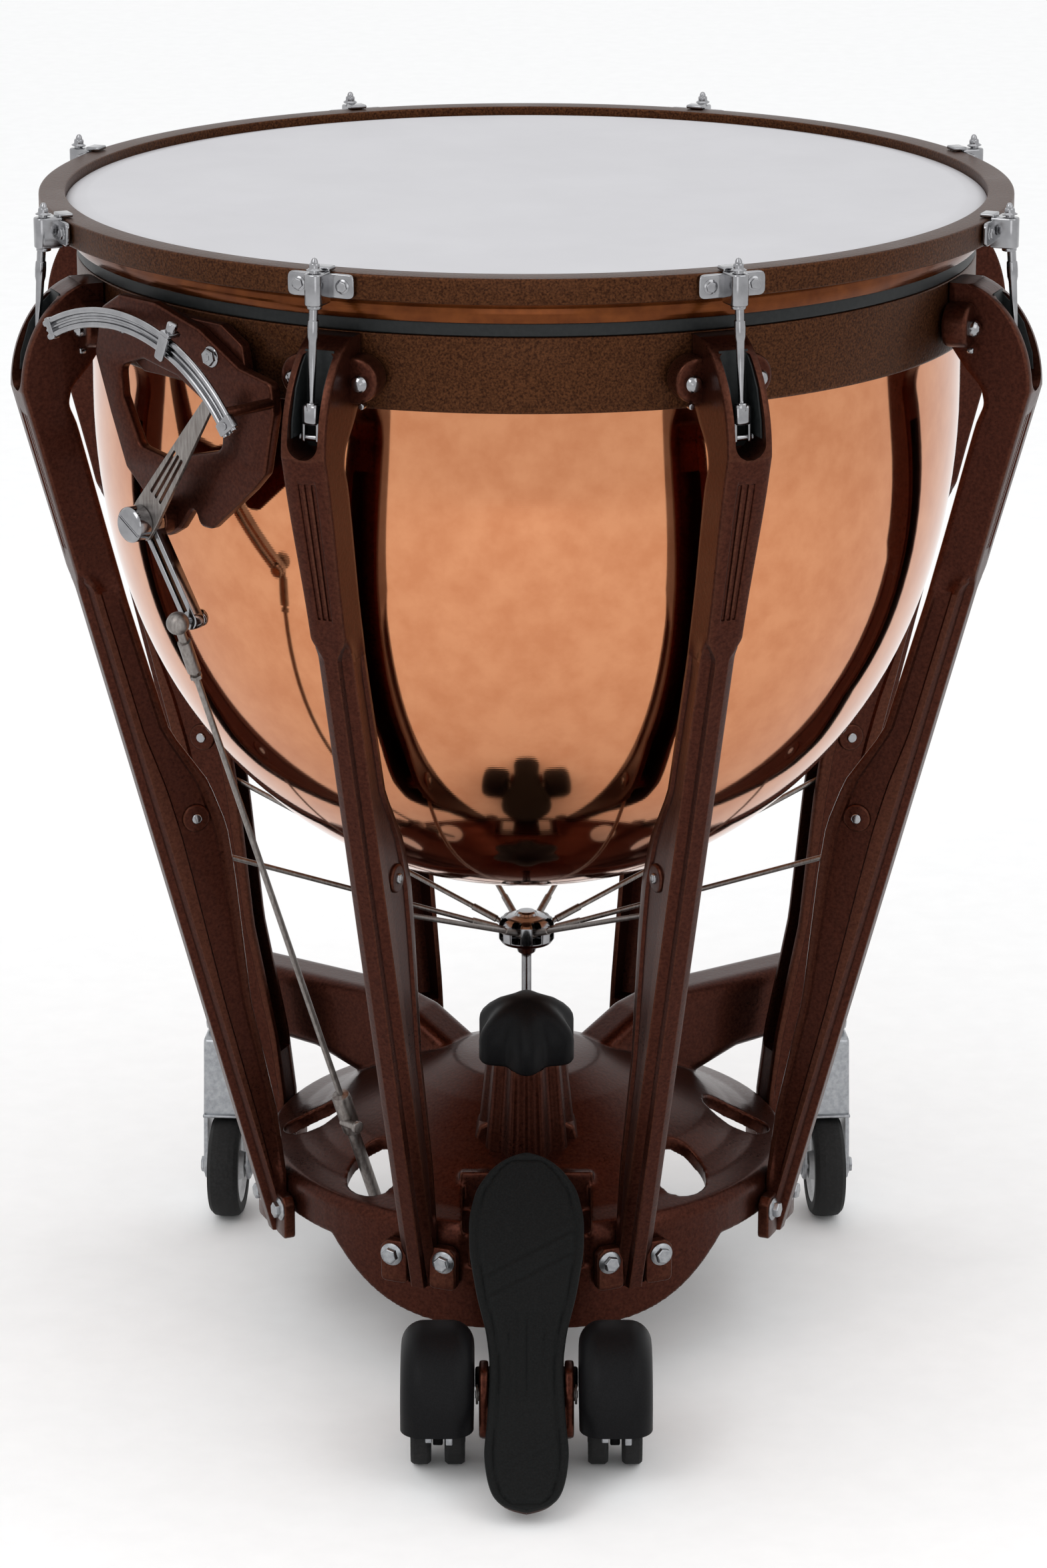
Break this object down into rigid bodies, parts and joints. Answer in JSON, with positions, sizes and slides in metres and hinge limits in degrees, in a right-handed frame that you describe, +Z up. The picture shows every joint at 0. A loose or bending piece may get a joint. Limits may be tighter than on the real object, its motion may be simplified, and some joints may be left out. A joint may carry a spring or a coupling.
{
  "type": "timpani drum",
  "caption": "Pedal-tuned kettledrum: copper bowl in a suspension ring on cast struts, with foot pedal, tuning gauge, spider rods and castors.",
  "frame": {"origin": "middle of the footprint at floor level, a little in front of the drum axis", "axes": "+Z up, -Y towards the player and the pedal, +X to the right as seen from the pedal"},
  "size_m": [0.7596, 0.8269, 0.912],
  "materials": {
    "hammertone": "dark brown hammertone enamel, glossy on the base",
    "copper": "polished copper, lacquered",
    "bronze_band": "glossy bronze-brown band",
    "gasket": "satin black",
    "film": "translucent white plastic film",
    "chrome": "bright chrome",
    "steel": "bare grey steel",
    "plastic": "satin black moulding",
    "pedal_rubber": "black ribbed rubber",
    "tyre": "black tyre on a grey hub",
    "zinc": "bright zinc plate",
    "black_metal": "satin black"
  },
  "bodies": {
    "frame": {"base_casting": "hammertone", "spring_housing": "hammertone", "suspension_ring": "hammertone", "ring_gasket": "gasket", "bowl": "copper", "drumhead": "film", "strut_1": "hammertone", "strut_2": "hammertone", "strut_3": "hammertone", "strut_4": "hammertone", "strut_5": "hammertone", "strut_6": "hammertone", "strut_7": "hammertone", "strut_8": "hammertone", "front_axle": "black_metal", "front_guard_left": "plastic", "front_guard_right": "plastic", "gauge_bracket": "hammertone", "gauge_scale": "chrome"},
    "hoop": {"counterhoop": "hammertone", "flesh_hoop": "bronze_band", "tension_rod_1": "chrome", "tension_rod_2": "chrome", "tension_rod_3": "chrome", "tension_rod_4": "chrome", "tension_rod_5": "chrome", "tension_rod_6": "chrome", "tension_rod_7": "chrome", "tension_rod_8": "chrome", "rod_lug_1": "chrome", "rod_lug_2": "chrome", "rod_lug_3": "chrome", "rod_lug_4": "chrome", "rod_lug_5": "chrome", "rod_lug_6": "chrome", "rod_lug_7": "chrome", "rod_lug_8": "chrome"},
    "hub": {"spider_hub": "chrome"},
    "knob": {"tension_knob": "plastic"},
    "pedal": {"pedal_plate": "hammertone", "pedal_rubber": "pedal_rubber", "pedal_axle": "steel"},
    "gauge_hand": {"gauge_pointer": "steel", "gauge_crank": "steel"},
    "gauge_link": {"gauge_rod": "steel"},
    "marker": {"note_marker": "chrome"},
    "pull_1": {"spider_rod_1": "steel"},
    "pull_2": {"spider_rod_2": "steel"},
    "pull_3": {"spider_rod_3": "steel"},
    "pull_4": {"spider_rod_4": "steel"},
    "pull_5": {"spider_rod_5": "steel"},
    "pull_6": {"spider_rod_6": "steel"},
    "pull_7": {"spider_rod_7": "steel"},
    "pull_8": {"spider_rod_8": "steel"},
    "front_wheel_left": {"front_wheel_left": "plastic"},
    "castor_left": {"rear_fork_left": "zinc"},
    "castor_wheel_left": {"rear_wheel_left": "tyre"},
    "front_wheel_right": {"front_wheel_right": "plastic"},
    "castor_right": {"rear_fork_right": "zinc"},
    "castor_wheel_right": {"rear_wheel_right": "tyre"}
  },
  "joints": [
    {"name": "pedal_tilt", "type": "hinge", "parent": "frame", "child": "pedal", "pos_m": [0, -0.3124, 0.06], "axis": [-1, 0, 0], "range_deg": [0, 18]},
    {"name": "hub_pull", "type": "slide", "parent": "frame", "child": "hub", "axis": [0, 0, -1], "range_m": [0, 0.012]},
    {"name": "hoop_pull", "type": "slide", "parent": "frame", "child": "hoop", "axis": [0, 0, -1], "range_m": [0, 0.004]},
    {"name": "pull_1_swing", "type": "hinge", "parent": "hub", "child": "pull_1", "pos_m": [0.00536, 0.02067, 0.304], "axis": [-0.9239, -0.3827, 0], "range_deg": [0, 2.42]},
    {"name": "pull_2_swing", "type": "hinge", "parent": "hub", "child": "pull_2", "pos_m": [0.01293, 0.02824, 0.304], "axis": [-0.3827, -0.9239, 0], "range_deg": [0, 2.42]},
    {"name": "pull_3_swing", "type": "hinge", "parent": "hub", "child": "pull_3", "pos_m": [0.01293, 0.03896, 0.304], "axis": [0.3827, -0.9239, 0], "range_deg": [0, 2.42]},
    {"name": "pull_4_swing", "type": "hinge", "parent": "hub", "child": "pull_4", "pos_m": [0.00536, 0.04653, 0.304], "axis": [0.9239, -0.3827, 0], "range_deg": [0, 2.42]},
    {"name": "pull_5_swing", "type": "hinge", "parent": "hub", "child": "pull_5", "pos_m": [-0.00536, 0.04653, 0.304], "axis": [0.9239, 0.3827, 0], "range_deg": [0, 2.42]},
    {"name": "pull_6_swing", "type": "hinge", "parent": "hub", "child": "pull_6", "pos_m": [-0.01293, 0.03896, 0.304], "axis": [0.3827, 0.9239, 0], "range_deg": [0, 2.42]},
    {"name": "pull_7_swing", "type": "hinge", "parent": "hub", "child": "pull_7", "pos_m": [-0.01293, 0.02824, 0.304], "axis": [-0.3827, 0.9239, 0], "range_deg": [0, 2.42]},
    {"name": "pull_8_swing", "type": "hinge", "parent": "hub", "child": "pull_8", "pos_m": [-0.00536, 0.02067, 0.304], "axis": [-0.9239, 0.3827, 0], "range_deg": [0, 2.42]},
    {"name": "knob_turn", "type": "hinge", "parent": "frame", "child": "knob", "pos_m": [0, -0.0904, 0.262], "axis": [0, -0.2079, 0.9781], "continuous": true},
    {"name": "front_wheel_left_roll", "type": "hinge", "parent": "frame", "child": "front_wheel_left", "pos_m": [-0.0658, -0.2994, 0.025], "axis": [1, 0, 0], "continuous": true},
    {"name": "castor_left_swivel", "type": "hinge", "parent": "frame", "child": "castor_left", "pos_m": [-0.247, 0.2096, 0.16], "axis": [0, 0, 1], "continuous": true},
    {"name": "castor_left_roll", "type": "hinge", "parent": "castor_left", "child": "castor_wheel_left", "pos_m": [-0.24944, 0.18171, 0.043], "axis": [0.9962, -0.0872, 0], "continuous": true},
    {"name": "front_wheel_right_roll", "type": "hinge", "parent": "frame", "child": "front_wheel_right", "pos_m": [0.0658, -0.2994, 0.025], "axis": [1, 0, 0], "continuous": true},
    {"name": "castor_right_swivel", "type": "hinge", "parent": "frame", "child": "castor_right", "pos_m": [0.247, 0.2096, 0.16], "axis": [0, 0, 1], "continuous": true},
    {"name": "castor_right_roll", "type": "hinge", "parent": "castor_right", "child": "castor_wheel_right", "pos_m": [0.24944, 0.18171, 0.043], "axis": [0.9962, 0.0872, 0], "continuous": true},
    {"name": "gauge_hand_swing", "type": "hinge", "parent": "frame", "child": "gauge_hand", "pos_m": [-0.27436, -0.22944, 0.703], "axis": [-0.7071, -0.7071, 0], "range_deg": [0, 22]},
    {"name": "gauge_rod_joint", "type": "hinge", "parent": "gauge_hand", "child": "gauge_link", "pos_m": [-0.24797, -0.26714, 0.63829], "axis": [-0.7071, -0.7071, 0], "range_deg": [-23.6, 0]},
    {"name": "note_marker_slide", "type": "hinge", "parent": "frame", "child": "marker", "pos_m": [-0.28991, -0.245, 0.703], "axis": [-0.7071, -0.7071, 0], "range_deg": [-24, 44]}
  ],
  "couplings": [
    {"joint": "hub_pull", "follows": "pedal_tilt", "m_per_rad": 0.038197},
    {"joint": "hoop_pull", "follows": "pedal_tilt", "m_per_rad": 0.012732},
    {"joint": "pull_1_swing", "follows": "pedal_tilt", "ratio": 0.13359},
    {"joint": "pull_2_swing", "follows": "pedal_tilt", "ratio": 0.13359},
    {"joint": "pull_3_swing", "follows": "pedal_tilt", "ratio": 0.13359},
    {"joint": "pull_4_swing", "follows": "pedal_tilt", "ratio": 0.13359},
    {"joint": "pull_5_swing", "follows": "pedal_tilt", "ratio": 0.13359},
    {"joint": "pull_6_swing", "follows": "pedal_tilt", "ratio": 0.13359},
    {"joint": "pull_7_swing", "follows": "pedal_tilt", "ratio": 0.13359},
    {"joint": "pull_8_swing", "follows": "pedal_tilt", "ratio": 0.13359},
    {"joint": "gauge_hand_swing", "follows": "pedal_tilt", "ratio": 1.2222},
    {"joint": "gauge_rod_joint", "follows": "pedal_tilt", "ratio": -1.3111}
  ]
}
